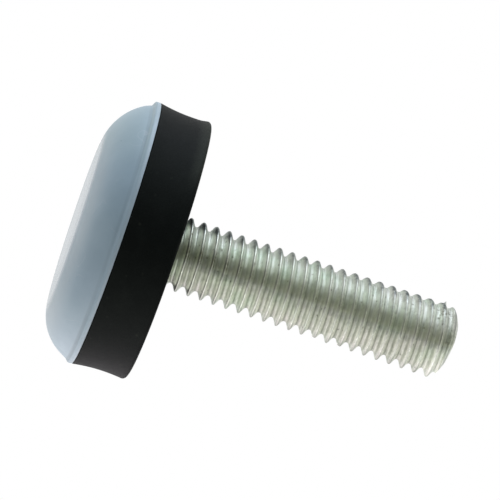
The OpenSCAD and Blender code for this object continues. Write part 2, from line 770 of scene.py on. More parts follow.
    def _cast(self, sheet: ShaderSheet, colour: bpy.types.NodeSocket) -> bpy.types.NodeSocket:
        """Tints the plate in faint patches, as a thin passivation layer does.

        Args:
            sheet: The material's node sheet.
            colour: The clean plate's colour.

        Returns:
            The tinted colour.
        """
        patch = sheet.grain(self.patch)
        colour = sheet.mix(self.cast * patch.between(*self.green_level), colour, self.green_cast)
        return sheet.mix(self.cast * (1.0 - patch.between(*self.pink_level)), colour, self.pink_cast)

    def _plate(self, sheet: ShaderSheet, mottle: Value) -> bpy.types.NodeSocket:
        """The plate: the crest, the two flanks and the root between them, with their painted highlights
        and painted shade.

        Args:
            sheet: The material's node sheet.
            mottle: The fine cloudy noise that breaks the plate up.

        Returns:
            The plate's colour, painted light included.
        """
        groove = sheet.attribute(ThreadedStud.GROOVE)
        tip_side = sheet.across(ThreadedStud.PATH).between(*self.tip_side_v)
        off_crest = groove.between(*self.off_crest_depth)
        bright = self.crest_bright * mottle.between(*self.bright_level)
        plate = sheet.mix(off_crest + bright, self._crest(sheet), self._flank(sheet, tip_side))
        lopsided = self.root_lopsided.where(sheet.above(self.tip_z)) * (tip_side - 0.5)
        in_root = (groove - lopsided).between(*self.in_root_depth)
        return sheet.mix(in_root, plate, self._root(sheet, tip_side))

    def _crest(self, sheet: ShaderSheet) -> bpy.types.NodeSocket:
        """The crest's tone: the root's darker tone near the tip, a painted highlight on its side
        towards the tip, and a paler painted highlight there on -X.

        Args:
            sheet: The material's node sheet.

        Returns:
            The crest's colour.
        """
        past_crest = sheet.across(ThreadedStud.PATH).between(*self.past_crest_v)
        minus_x = sheet.towards(Side.MINUS_X, self.lit_side_x)
        colour = sheet.mix(sheet.above(self.tip_z), self.crest, self.root_shade)
        colour = sheet.mix(past_crest, colour, self.crest_lit)
        # Paler painted highlight on the crest's side towards the tip, on -X.
        return sheet.mix(self.crest_highlight * minus_x * past_crest, colour, self.highlight_tone)

    def _flank(self, sheet: ShaderSheet, tip_side: Value) -> bpy.types.NodeSocket:
        """The flanks' tone: painted light on the flank towards the tip, painted shade near the tip and
        on -X, and painted highlights on +X and past the crest on -X.

        Args:
            sheet: The material's node sheet.
            tip_side: 1 on a crest's side towards the tip, and 0 on the other.

        Returns:
            The flanks' colour.
        """
        plus_x = sheet.towards(Side.PLUS_X, self.lit_side_x)
        minus_x = sheet.towards(Side.MINUS_X, self.lit_side_x)
        near_tip = sheet.above(self.tip_z)
        beyond = sheet.across(ThreadedStud.PATH).between(*self.beyond_crest_v)
        # Painted shade near the tip and on -X; painted light on the flank towards the tip.
        far = near_tip + self.flank_shade_minus_x * minus_x
        colour = sheet.mix(tip_side, sheet.mix(far, self.flank, self.flank_shade), self.flank_lit)
        # Painted highlights on +X, and past the crest on -X.
        highlight = plus_x * self.flank_highlight_plus_x.where(near_tip)
        return sheet.mix(highlight + self.flank_highlight_minus_x * minus_x * beyond, colour, self.highlight_tone)

    def _root(self, sheet: ShaderSheet, tip_side: Value) -> bpy.types.NodeSocket:
        """The root's tone: painted shade on its side towards the tip, less on -X, and on its side
        towards the foot and on +X.

        Args:
            sheet: The material's node sheet.
            tip_side: 1 on a crest's side towards the tip, and 0 on the other.

        Returns:
            The root's colour.
        """
        plus_x = sheet.towards(Side.PLUS_X, self.lit_side_x)
        minus_x = sheet.towards(Side.MINUS_X, self.lit_side_x)
        foot_side = 1.0 - sheet.across(ThreadedStud.PATH).between(*self.foot_side_root_v)
        # Painted shade in the root, by side.
        shade = tip_side * (1.0 - self.root_lit_minus_x * minus_x) + foot_side
        return sheet.mix(shade + self.root_shade_plus_x * plus_x, self.root, self.root_shade)

    def _textured(self, sheet: ShaderSheet, streak: Value, mottle: Value) -> Value:
        """Lines, spots, grit and hairs of the rolled surface, which lighten it as well as darken it.

        Args:
            sheet: The material's node sheet.
            streak: The lines along the thread.
            mottle: The fine cloudy noise that breaks the plate up.

        Returns:
            How much darker each point is, and less than 0 where it is lighter.
        """
        lines = streak.between(*self.line_level) - 0.5
        spots = mottle.between(*self.spot_level) - 0.5
        grit = sheet.grain(self.grit).between(*self.grit_level) - 0.5
        hairs = sheet.streak(ThreadedStud.PATH, self.hairs).between(*self.hair_level)
        even = self.line_soil * lines + self.spot_soil * spots + self.grit_soil * grit
        return even + self.hair_soil.where(sheet.above(self.tip_z)) * hairs

    def _crest_top_shade(self, sheet: ShaderSheet, mottle: Value) -> Value:
        """Darkens the crest tops in spots: wear, with painted shade towards the two X sides, near the
        rubber and on -X near the tip.

        Args:
            sheet: The material's node sheet.
            mottle: The fine cloudy noise that breaks the plate up.

        Returns:
            How dark each point is made.
        """
        spots = mottle.between(*self.crest_top_spot_level)
        near_rubber = 1.0 - sheet.above(self.off_rubber_z)
        outer = sheet.towards(Side.MINUS_X, self.outer_crest_x)
        outer = outer * (self.outer_crest_shade.where(spots) + self.foot_crest_shade * near_rubber)
        minus_x = sheet.towards(Side.MINUS_X, self.lit_side_x) * sheet.above(self.tip_z)
        minus_x = minus_x * self.crest_shade_minus_x.where(spots)
        plus_x = sheet.towards(Side.PLUS_X, self.outer_crest_x) * self.crest_shade_plus_x.where(spots)
        top = 1.0 - sheet.attribute(ThreadedStud.GROOVE).between(*self.below_top_depth)
        return top * (outer + minus_x + plus_x)

    def _stripe(self, sheet: ShaderSheet) -> Value:
        """A stripe along the stud, beside the YZ plane on the -X side, where the flag's dark reflection
        lies in the main view; it takes a painted olive tint and painted shade.

        Args:
            sheet: The material's node sheet.

        Returns:
            1 in the stripe and 0 beside it.
        """
        outer = 1.0 - sheet.towards(Side.MINUS_X, self.stripe_x)
        inner = 1.0 - sheet.towards(Side.PLUS_X, (0.0, self.stripe_x[0]))
        return outer * inner

    def _stripe_shade(self, sheet: ShaderSheet, mottle: Value) -> Value:
        """Painted shade on the crests in the stripe, in spots, most of it near the rubber.

        Args:
            sheet: The material's node sheet.
            mottle: The fine cloudy noise that breaks the plate up.

        Returns:
            How much painted shade each point takes.
        """
        spots = mottle.between(*self.stripe_spot_level)
        across = sheet.across(ThreadedStud.PATH)
        top = across.between(*self.stripe_crest_v) * (1.0 - across.between(*self.stripe_crest_end_v))
        near_rubber = 1.0 - sheet.above(self.off_rubber_z)
        held = self.stripe_shade.where(spots) + near_rubber * self.stripe_foot_shade.where(spots)
        return self._stripe(sheet) * top * held

    def _foot_shade(self, sheet: ShaderSheet) -> Value:
        """Painted shade on the -X side of the first threads over the rubber.

        Args:
            sheet: The material's node sheet.

        Returns:
            How much painted shade each point takes.
        """
        near_rubber = 1.0 - sheet.above(self.foot_z)
        outer = 1.0 - sheet.towards(Side.MINUS_X, self.foot_outer_x)
        inner = 1.0 - sheet.towards(Side.PLUS_X, self.foot_inner_x)
        return self.foot_shade * near_rubber * outer * inner

    def _end_lit(self, sheet: ShaderSheet) -> Value:
        """Painted light on the last thread and the lead, on the +X side."""
        return self.end_light * sheet.above(self.end_z) * sheet.towards(Side.PLUS_X, self.lit_side_x)

    def _end_soil_and_shade(self, sheet: ShaderSheet, mottle: Value) -> Value:
        """Painted shade in the stripe on the lead, and soiling in the scar that a knock left beside the
        last crest.

        Args:
            sheet: The material's node sheet.
            mottle: The fine cloudy noise that breaks the plate up.

        Returns:
            How dark each point is made.
        """
        spots = mottle.between(*self.lead_level)
        lead = sheet.above(self.lead_z) * self._stripe(sheet) * self.lead_shade.where(spots)
        scar = 1.0 - sheet.distance(self.scar_at).between(*self.scar_r)
        return lead + self.scar_soil * scar * spots


def new_material(name: str) -> bpy.types.Material:
    """Makes an empty node material.

    Args:
        name: The material's name.

    Returns:
        The material.
    """
    made = bpy.data.materials.new(name)
    made.use_nodes = True
    return made


def finish_surface(
    material: bpy.types.Material, sheet: ShaderSheet, inputs: dict[int | str, Any]
) -> bpy.types.Material:
    """Ends a material with its surface shader.

    Args:
        material: The material.
        sheet: Its node sheet.
        inputs: What feeds the shader's sockets.

    Returns:
        The same material.
    """
    shader = sheet.node("ShaderNodeBsdfPrincipled", None, inputs)
    sheet.node("ShaderNodeOutputMaterial", None, {"Surface": shader.outputs[0]})
    return material


# ---------------------------------------------------------------------------------------------
# Shapes
# ---------------------------------------------------------------------------------------------


def soft_min(first: float, second: float, blend: float) -> float:
    """The smaller of two numbers, with the corner rounded over a width of blend."""
    overlap = max(blend - abs(first - second), 0.0) / blend
    return min(first, second) - 0.25 * blend * overlap * overlap


def eased(amount: float) -> float:
    """Clamps to 0..1 and eases both ends."""
    held = min(max(amount, 0.0), 1.0)
    return held * held * (3.0 - 2.0 * held)


def arc(
    centre: tuple[float, float], radius: float, start: float, end: float, count: int
) -> list[Vector]:
    """Points along an arc in the XZ plane.

    Args:
        centre: The arc's centre, as x and z.
        radius: Its radius.
        start: The first angle in degrees, from +X towards +Z.
        end: The last angle in degrees.
        count: How many points to give.

    Returns:
        The points, from start to end.
    """
    points = []
    for index in range(count):
        turn = math.radians(start + (end - start) * index / (count - 1))
        x = centre[0] + radius * math.cos(turn)
        z = centre[1] + radius * math.sin(turn)
        points.append(Vector((x, 0.0, z)))
    return points


def line(start: tuple[float, float], end: tuple[float, float], count: int) -> list[Vector]:
    """Evenly spaced points along a line in the XZ plane, without its end.

    Args:
        start: The first point, as x and z.
        end: The point that the line runs towards.
        count: How many points to give.

    Returns:
        The points, from start.
    """
    first = Vector((start[0], 0.0, start[1]))
    last = Vector((end[0], 0.0, end[1]))
    return [first.lerp(last, index / count) for index in range(count)]


def turned(outline: list[Vector], steps: int) -> bmesh.types.BMesh:
    """Turns an outline once round Z.

    Args:
        outline: Points in the XZ plane, in order.
        steps: How many steps make the turn.

    Returns:
        The turned shell. It is closed where the outline starts or ends on the axis.
    """
    shell = bmesh.new()
    verts = [shell.verts.new(point) for point in outline]
    edges = [shell.edges.new(pair) for pair in zip(verts, verts[1:])]
    bmesh.ops.spin(
        shell,
        geom=verts + edges,
        cent=(0.0, 0.0, 0.0),
        axis=(0.0, 0.0, 1.0),
        angle=FULL_TURN,
        steps=steps,
        use_merge=True,
    )
    bmesh.ops.remove_doubles(shell, verts=shell.verts, dist=WELD)
    return shell


def rims(shell: bmesh.types.BMesh) -> list[bmesh.types.BMEdge]:
    """The edges that have a face on one side only."""
    return [edge for edge in shell.edges if edge.is_boundary]


def carry_rim(
    shell: bmesh.types.BMesh,
    rim: Iterable[bmesh.types.BMEdge],
    place: Callable[[Vector], Vector],
) -> list[bmesh.types.BMEdge]:
    """Extrudes an open rim and puts each new point where place says.

    Args:
        shell: The mesh that the rim belongs to.
        rim: The rim's edges.
        place: Gives the new point for an old one.

    Returns:
        The edges of the new rim.
    """
    made = bmesh.ops.extrude_edge_only(shell, edges=list(rim))["geom"]
    verts = {item for item in made if isinstance(item, bmesh.types.BMVert)}
    for vert in verts:
        vert.co = place(vert.co)
    edges = [item for item in made if isinstance(item, bmesh.types.BMEdge)]
    return [edge for edge in edges if set(edge.verts) <= verts]


def close_rim(shell: bmesh.types.BMesh, rim: Iterable[bmesh.types.BMEdge], z: float) -> None:
    """Draws a rim together on the axis.

    Args:
        shell: The mesh that the rim belongs to.
        rim: The rim's edges.
        z: The height of the point that closes it.
    """
    last = carry_rim(shell, rim, lambda point: Vector((0.0, 0.0, z)))
    verts = list({vert for edge in last for vert in edge.verts})
    bmesh.ops.remove_doubles(shell, verts=verts, dist=WELD)


def at_radius(radius: float | Callable[[float], float], z: float) -> Callable[[Vector], Vector]:
    """Gives a placing rule that keeps a point's bearing.

    Args:
        radius: The new distance from the axis, or a function of the bearing.
        z: The new height.

    Returns:
        The rule, for carry_rim.
    """

    def place(point: Vector) -> Vector:
        """Moves one point."""
        bearing = math.atan2(point.y, point.x)
        reach = radius(bearing) if callable(radius) else radius
        return Vector((reach * math.cos(bearing), reach * math.sin(bearing), z))

    return place


def to_object(shell: bmesh.types.BMesh, name: str, material: bpy.types.Material) -> bpy.types.Object:
    """Makes a smooth object at the origin from a finished shell.

    Args:
        shell: The mesh, which is freed.
        name: The object's name.
        material: Its finish.

    Returns:
        The object.
    """
    bmesh.ops.recalc_face_normals(shell, faces=shell.faces)
    mesh = bpy.data.meshes.new(name)
    shell.to_mesh(mesh)
    shell.free()
    mesh.shade_smooth()
    mesh.set_sharp_from_angle(angle=math.radians(SHARP_ANGLE))
    mesh.materials.append(material)
    made = bpy.data.objects.new(name, mesh)
    bpy.context.scene.collection.objects.link(made)
    return made


# ---------------------------------------------------------------------------------------------
# The glide
# ---------------------------------------------------------------------------------------------


@dataclass(frozen=True)
class GlideSizes:
    """The sizes that the pieces share, read from the solids."""

    rim_r: float
    joint_z: float
    seat_z: float
    tip_z: float
    crest_r: float

    @classmethod
    def from_frame(cls, record: dict[str, Any]) -> "GlideSizes":
        """Reads the solids' boxes and the stud's mount.

        Args:
            record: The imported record.

        Returns:
            The shared sizes.
        """
        pad_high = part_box(Piece.PAD.value)[1]
        stud = next(mount for mount in record["mounts"] if mount["name"] == "stud")
        return cls(
            rim_r=pad_high[0],
            joint_z=pad_high[2],
            seat_z=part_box(Piece.CUSHION.value)[1][2],
            tip_z=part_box(Piece.STUD.value)[1][2],
            crest_r=stud["dims"]["r_mm"] * MM,
        )


@dataclass(frozen=True)
class JointRim:
    """How the line between pad and cushion runs out of square at the rim.

    The two shares are of the rim's radius: where the shift starts, and over how much it grows.
    """

    sizes: GlideSizes
    tilt: float = 0.12 * MM
    drop: float = 0.02 * MM
    spread: float = 1.4 * MM
    start_share: float = 0.80
    growth_share: float = 0.12

    def shift(self, vert: bmesh.types.BMVert) -> None:
        """Moves a point near the joint's rim with it.

        Args:
            vert: The point.
        """
        reach = math.hypot(vert.co.x, vert.co.y) / self.sizes.rim_r
        near = 1.0 - eased(abs(vert.co.z - self.sizes.joint_z) / self.spread)
        near *= eased((reach - self.start_share) / self.growth_share)
        vert.co.z -= near * (self.drop + self.tilt * vert.co.x / self.sizes.rim_r)


@dataclass(frozen=True)
class Wall:
    """How unevenly a moulded wall shrinks: how far at most, and in waves of two widths."""

    depth: float
    wide: float
    fine: float
    fine_share: float

    def draw_in(self, vert: bmesh.types.BMVert, reach: float) -> None:
        """Moves a point of the wall in towards the axis.

        Args:
            vert: The point.
            reach: How far the wall stands from the axis there.
        """
        wave = noise.noise(vert.co / self.wide) + self.fine_share * noise.noise(vert.co / self.fine)
        drawn_in = self.depth * 0.5 * (1.0 + wave)
        scale = (reach - drawn_in) / reach
        vert.co.x *= scale
        vert.co.y *= scale


@dataclass
class StudHead:
    """The flat hexagonal head in the rubber, and the plain shank above it."""

    across_flats: float = 12.7 * MM
    height: float = 2.4 * MM
    above_pad: float = 1.2 * MM

    def reach(self, bearing: float) -> float:
        """The head's distance from the axis at a bearing.

        Args:
            bearing: The angle round Z, in radians.

        Returns:
            The distance to the flat or corner there.
        """
        flat = math.pi / 3.0
        off_middle = (bearing % flat) - 0.5 * flat
        return 0.5 * self.across_flats / math.cos(off_middle)

    def close_down(
        self, shell: bmesh.types.BMesh, rim: list[bmesh.types.BMEdge], joint_z: float, shank_r: float
    ) -> None:
        """Carries a rim at the shank's radius down round the head and closes it.

        Args:
            shell: The mesh that the rim belongs to.
            rim: The rim's edges.
            joint_z: Height of the joint between pad and cushion.
            shank_r: The shank's radius.
        """
        bottom = joint_z + self.above_pad
        top = bottom + self.height
        rim = carry_rim(shell, rim, at_radius(shank_r, top))
        rim = carry_rim(shell, rim, at_radius(self.reach, top))
        rim = carry_rim(shell, rim, at_radius(self.reach, bottom))
        close_rim(shell, rim, bottom)


@dataclass
class SlidePad:
    """The hard pad: a flat sliding face, one shoulder arc and an upright band at the rim.

    The band starts at so many heights of the step. The dome's start and growth are shares of the
    sole's radius.
    """

    sizes: GlideSizes
    sole_r: float = 8.62 * MM
    band_h: float = 0.8 * MM
    band_step: float = 0.33 * MM
    edge_round: float = 0.06 * MM
    step_h: float = 0.38 * MM
    step_drawn: float = 0.24 * MM
    step_tilt: float = 0.08 * MM
    step_bend: float = 0.8
    band_start: float = 1.1
    joint_inset: float = 0.3 * MM
    joint_margin: float = 0.05 * MM
    dome: float = 0.07 * MM
    dome_start: float = 0.5
    dome_growth: float = 0.35
    sunk: float = 0.22 * MM
    sole_shift: float = 0.15 * MM
    wall: Wall = Wall(0.025 * MM, wide=4.0 * MM, fine=1.6 * MM, fine_share=0.5)
    sole_rows: int = 8
    shoulder_rows: int = 30
    step_rows: int = 8
    band_rows: int = 3
    edge_rows: int = 4
    joint_rows: int = 4
    steps: int = 288

    def outline(self) -> list[Vector]:
        """Draws the pad's half section, from the sliding face's middle round to the joint's.

        Returns:
            The points, in order.
        """
        rim, top = self.sizes.rim_r, self.sizes.joint_z
        band_z = top - self.band_h
        shoulder_end = rim - self.band_step
        radius = ((shoulder_end - self.sole_r) ** 2 + band_z**2) / (2.0 * band_z)
        sweep = math.degrees(math.asin((shoulder_end - self.sole_r) / radius))
        points = line((0.0, 0.0), (self.sole_r, 0.0), self.sole_rows)
        points += arc((self.sole_r, radius), radius, -90.0, -90.0 + sweep, self.shoulder_rows)
        for index in range(1, self.step_rows + 1):
            share = index / self.step_rows
            x = shoulder_end + self.band_step * eased(share) ** self.step_bend
            points.append(Vector((x, 0.0, band_z + self.step_h * share)))
        edge_z = top - self.edge_round
        points += line((rim, band_z + self.band_start * self.step_h), (rim, edge_z), self.band_rows)
        points += arc((rim - self.edge_round, edge_z), self.edge_round, 0.0, 90.0, self.edge_rows)
        points += line((rim - self.joint_inset, top), (0.0, top), self.joint_rows)
        points.append(Vector((0.0, 0.0, top)))
        return points

    def build(self, material: bpy.types.Material) -> bpy.types.Object:
        """Makes the pad.

        Args:
            material: Its finish.

        Returns:
            The object.
        """
        shell = turned(self.outline(), self.steps)
        joint = JointRim(self.sizes)
        for vert in shell.verts:
            self._soften_step(vert)
            self._settle(vert)
            joint.shift(vert)
        return to_object(shell, "slide_pad_body", material)

    def _soften_step(self, vert: bmesh.types.BMVert) -> None:
        """Draws the step under the band out into a slope, least at the two X sides.

        Args:
            vert: The point.
        """
        above = vert.co.z - (self.sizes.joint_z - self.band_h)
        reach = math.hypot(vert.co.x, vert.co.y)
        if reach < self.sole_r or not 0.0 < above < self.band_h:
            return
        share = min(above / self.step_h, (self.band_h - above) / (self.band_h - self.step_h))
        vert.co.z += self.step_drawn * share * (vert.co.y / reach) ** 2

    def _settle(self, vert: bmesh.types.BMVert) -> None:
        """Sets the sole off centre, and sinks the shoulder as pressed plastic cools unevenly.

        Args:
            vert: The point.
        """
        height = vert.co.z
        band_z = self.sizes.joint_z - self.band_h
        reach = math.hypot(vert.co.x, vert.co.y)
        if height < band_z:
            domed = eased((reach / self.sole_r - self.dome_start) / self.dome_growth)
            vert.co.z += self.dome * domed * (1.0 - height / band_z)
        if reach > self.sole_r:
            near_step = max(1.0 - abs(height - band_z) / self.step_h, 0.0)
            vert.co.z -= self.step_tilt * near_step * vert.co.x / reach
        vert.co.x += self.sole_shift * (1.0 - eased(height / band_z))
        near_joint = self.sizes.joint_z - self.joint_margin
        if reach > self.sole_r and height < near_joint:
            side = max(-vert.co.x / reach, 0.0)
            vert.co.x += self.sunk * side * side * (1.0 - eased((height - band_z) / self.step_h))
        if reach >= self.sole_r and height <= near_joint:
            self.wall.draw_in(vert, reach)


@dataclass
class RubberCushion:
    """The moulded rubber: a hollow side, a flat seat and a recess round the stud.

    The start and growth of the lift and the start of the wall are shares of the rim's radius. The
    corner's start is a share of the cushion's height.
    """

    sizes: GlideSizes
    head: StudHead
    shank_r: float
    waist_depth: float = 0.305 * MM
    waist_h: float = 3.4 * MM
    edge_round: float = 0.4 * MM
    joint_round: float = 0.1 * MM
    relief_h: float = 0.7 * MM
    relief_gap: float = 0.5 * MM
    lean: float = 0.11 * MM
    drawn_top: float = 0.05 * MM
    lean_bend: float = 1.5
    lifted: float = 0.12 * MM
    lifted_start: float = 0.4
    lifted_growth: float = 0.5
    full_corner: float = 0.13 * MM
    corner_start: float = 0.78
    wall_start: float = 0.9
    wall: Wall = Wall(0.03 * MM, wide=3.0 * MM, fine=0.9 * MM, fine_share=0.4)
    edge_angle: float = 12.0
    bore_round: float = 0.1 * MM
    bore_inset: float = 0.15 * MM
    joint_rows: int = 6
    side_rows: int = 24
    edge_rows: int = 7
    seat_rows: int = 8
    bore_rows: int = 4
    floor_rows: int = 3
    steps: int = 288

    def outline(self) -> list[Vector]:
        """Draws the cushion's half section, from the joint's middle round to the bore.

        Returns:
            The points, in order.
        """
        rim, joint, seat = self.sizes.rim_r, self.sizes.joint_z, self.sizes.seat_z
        relief_r = self.sizes.crest_r + self.relief_gap
        hollow_r = (self.waist_depth**2 + self.waist_h**2) / (2.0 * self.waist_depth)
        hollow_x = rim - self.waist_depth + hollow_r
        low = math.degrees(math.asin((self.waist_h - self.joint_round) / hollow_r))
        side_top = seat - self.edge_round
        high = math.degrees(math.asin((side_top - joint - self.waist_h) / hollow_r))
        waist = (hollow_x, joint + self.waist_h)
        side = arc(waist, hollow_r, 180.0 + low, 180.0 - high, self.side_rows)
        edge_x = side[-1].x - self.edge_round
        points = line((0.0, joint), (rim - self.joint_round, joint), self.joint_rows)
        points.append(Vector((rim - self.joint_round, 0.0, joint)))
        points += side
        points += arc((edge_x, side_top), self.edge_round, self.edge_angle, 90.0, self.edge_rows)
        seat_end = (relief_r + self.bore_inset, seat)
        points += line((edge_x - self.edge_round, seat), seat_end, self.seat_rows)
        bore_edge = (relief_r + self.bore_round, seat - self.bore_round)
        points += arc(bore_edge, self.bore_round, 90.0, 180.0, self.bore_rows)
        floor = seat - self.relief_h
        points.append(Vector((relief_r, 0.0, floor + self.bore_round)))
        points += line((relief_r, floor), (self.shank_r, floor), self.floor_rows)
        points.append(Vector((self.shank_r, 0.0, floor)))
        return points

    def build(self, material: bpy.types.Material) -> bpy.types.Object:
        """Makes the cushion.

        Args:
            material: Its finish.

        Returns:
            The object.
        """
        shell = turned(self.outline(), self.steps)
        self.head.close_down(shell, rims(shell), self.sizes.joint_z, self.shank_r)
        joint = JointRim(self.sizes)
        for vert in shell.verts:
            self._settle(vert)
            joint.shift(vert)
        return to_object(shell, "rubber_cushion_body", material)

    def _settle(self, vert: bmesh.types.BMVert) -> None:
        """Leans the cushion and draws its wall in a little, as soft rubber shrinks unevenly.

        Args:
            vert: The point.
        """
        rim = self.sizes.rim_r
        reach = math.hypot(vert.co.x, vert.co.y)
        share = max(vert.co.z - self.sizes.joint_z, 0.0) / (self.sizes.seat_z - self.sizes.joint_z)
        outer = eased((reach / rim - self.lifted_start) / self.lifted_growth)
        vert.co.z += self.lifted * share * outer * max(-vert.co.x / rim, 0.0)
        if reach < self.wall_start * rim:
            return
        drawn = self.drawn_top * share**2
        vert.co.x += self.lean * share**self.lean_bend - drawn * vert.co.x / reach
        vert.co.y -= drawn * vert.co.y / reach
        corner = eased((share - self.corner_start) / (1.0 - self.corner_start))
        vert.co.x -= self.full_corner * corner * max(-vert.co.x / reach, 0.0) ** 2
        self.wall.draw_in(vert, reach)


@dataclass
class ThreadedStud:
    """The rolled stud: a right-hand thread, a rounded lead at the tip and the hidden head.

    The depth, rod and crest shares are shares of the sharp triangle's height. The starts of the
    swell and of the shallow grooves are in heights of the seat.
    """

    GROOVE: ClassVar[str] = "groove"
    PATH: ClassVar[str] = "thread_path"

    sizes: GlideSizes
    head: StudHead
    pitch: float = 25.4 * MM / 18.0
    flank: float = 60.0
    depth_share: float = 0.625
    rod_share: float = 0.375
    crest_share: float = 0.115
    crest_lost: float = 0.075
    phase_z: float = 13.84 * MM
    lead_len: float = 1.25 * MM
    lead_margin: float = 0.05 * MM
    lead_bend: float = 0.9
    lead_blend: float = 0.12 * MM
    tip_r: float = 2.4 * MM
    tip_inner: float = 0.6
    neck: float = 0.45 * MM
    neck_rise: float = 0.6
    full_z: float = 40.0 * MM
    swell: float = 0.045 * MM
    swell_start: float = 2.0
    shallow: float = 0.44
    shallow_start: float = 1.4
    lean: float = 0.0038
    unevenness: float = 0.045 * MM
    uneven_width: float = 0.9 * MM
    end_cut: float = 0.17 * MM
    end_cut_middle: float = 0.3
    end_cut_slope: float = 1.4
    end_proud: float = 0.10 * MM
    end_proud_slope: float = 2.0
    burr_z: float = 40.22 * MM
    burr_h: float = 0.40 * MM
    burr_reach: tuple[float, float] = (0.36 * MM, 0.20 * MM)
    dents_z: tuple[float, ...] = (27.98 * MM, 30.80 * MM)
    dent: float = 0.35 * MM
    dent_reach: float = 1.1 * MM
    dent_margin: float = 0.1 * MM
    dent_steep: float = 1.3
    dent_blend: float = 0.08 * MM
    columns: int = 96
    rows: int = 24

    @property
    def full_depth(self) -> float:
        """Height of the sharp triangle that the thread is cut from."""
        return 0.5 * self.pitch * math.tan(math.radians(self.flank))

    def fullness(self, z: float, start: float) -> float:
        """Rises from 0 at a height to 1 near the tip, where the dies left the thread fuller.

        Args:
            z: The height of the point.
            start: The height that gives 0, in heights of the seat.

        Returns:
            The eased share.
        """
        start_z = start * self.sizes.seat_z
        return eased((z - start_z) / (self.full_z - start_z))

    def crest_round(self, z: float) -> float:
        """Radius of the crest: about an eighth of the triangle, less where the thread is fuller."""
        return self.full_depth * (self.crest_share - self.crest_lost * self.fullness(z, 1.0))

    def groove_share(self, z: float, bearing: float) -> float:
        """How much of its full depth the groove keeps: the dies pressed less on the -X side."""
        side = 0.5 - 0.5 * math.cos(bearing)
        return 1.0 - self.shallow * self.fullness(z, self.shallow_start) * side * side

    @property
    def root_round(self) -> float:
        """Radius of the root, which fills a quarter of the triangle."""
        return self.full_depth / 4.0

    @property
    def shank_r(self) -> float:
        """Radius of the rod before its thread was rolled."""
        return self.sizes.crest_r - self.rod_share * self.full_depth

    def turns_up(self, point: Vector) -> float:
        """How many turns a point lies above the crest line that passes the phase height on +X."""
        bearing = math.atan2(point.y, point.x) % FULL_TURN
        return (point.z - self.phase_z) / self.pitch - bearing / FULL_TURN

    def thread_r(self, across: float, crest: float) -> float:
        """Radius of the thread's section: straight flanks between a crest arc and a root arc.

        Args:
            across: 0 on the crest and 0.5 at the root.
            crest: Radius of the crest arc.

        Returns:
            The radius there.
        """
        apex = self.sizes.crest_r + self.full_depth / 8.0
        root = self.root_round
        from_crest = abs(across) * self.pitch
        from_root = 0.5 * self.pitch - from_crest
        arc_reach = math.cos(math.radians(90.0 - self.flank))
        if from_crest < arc_reach * crest:
            return apex - 2.0 * crest + math.sqrt(crest**2 - from_crest**2)
        if from_root < arc_reach * root:
            return apex - self.full_depth + 2.0 * root - math.sqrt(root**2 - from_root**2)
        return apex - from_crest * math.tan(math.radians(self.flank))

    def lead_r(self, z: float) -> float:
        """The radius that the rounded lead leaves at a height.

        Args:
            z: The height.

        Returns:
            The radius.
        """
        below_tip = min(max((self.sizes.tip_z - z) / self.lead_len, 0.0), 1.0)
        widened = math.sin(0.5 * math.pi * below_tip) ** self.lead_bend
        return self.tip_r + (self.sizes.crest_r + self.lead_margin - self.tip_r) * widened

    def dent_r(self, z: float, bearing: float) -> float:
        """The radius that the two knocks on the +X side leave at a height and a bearing.

        Args:
            z: The height.
            bearing: The angle round Z, in radians.

        Returns:
            The radius.
        """
        around = bearing * self.sizes.crest_r / self.dent_reach
        along = min(abs(z - dent_z) for dent_z in self.dents_z) / self.pitch
        pressed = eased(self.dent_steep * (1.0 - math.hypot(along, around)))
        return self.sizes.crest_r + self.dent_margin - (self.dent + self.dent_margin) * pressed

    def build(self, material: bpy.types.Material) -> bpy.types.Object:
        """Makes the stud.

        Args:
            material: Its finish.

        Returns:
            The object.
        """
        shell = self._strip()
        groove = shell.verts.layers.float.new(self.GROOVE)
        neck_z = self.sizes.seat_z - self.neck
        for vert in shell.verts:
            self._shape(vert, groove, neck_z)
        self._trim(shell, neck_z, keep_above=True)
        self._trim(shell, self.sizes.tip_z, keep_above=False)
        open_edges = rims(shell)
        middle = 0.5 * (neck_z + self.sizes.tip_z)
        low = [edge for edge in open_edges if edge.verts[0].co.z < middle]
        high = [edge for edge in open_edges if edge.verts[0].co.z > middle]
        self.head.close_down(shell, low, self.sizes.joint_z, self.shank_r)
        high = carry_rim(shell, high, at_radius(self.tip_inner * self.tip_r, self.sizes.tip_z))
        close_rim(shell, high, self.sizes.tip_z)
        self._even_poles(shell, groove)
        self._unwind(shell)
        self._raise_burr(shell)
        self._cut_end(shell)
        self._lean_over(shell)
        return to_object(shell, "threaded_stud_body", material)

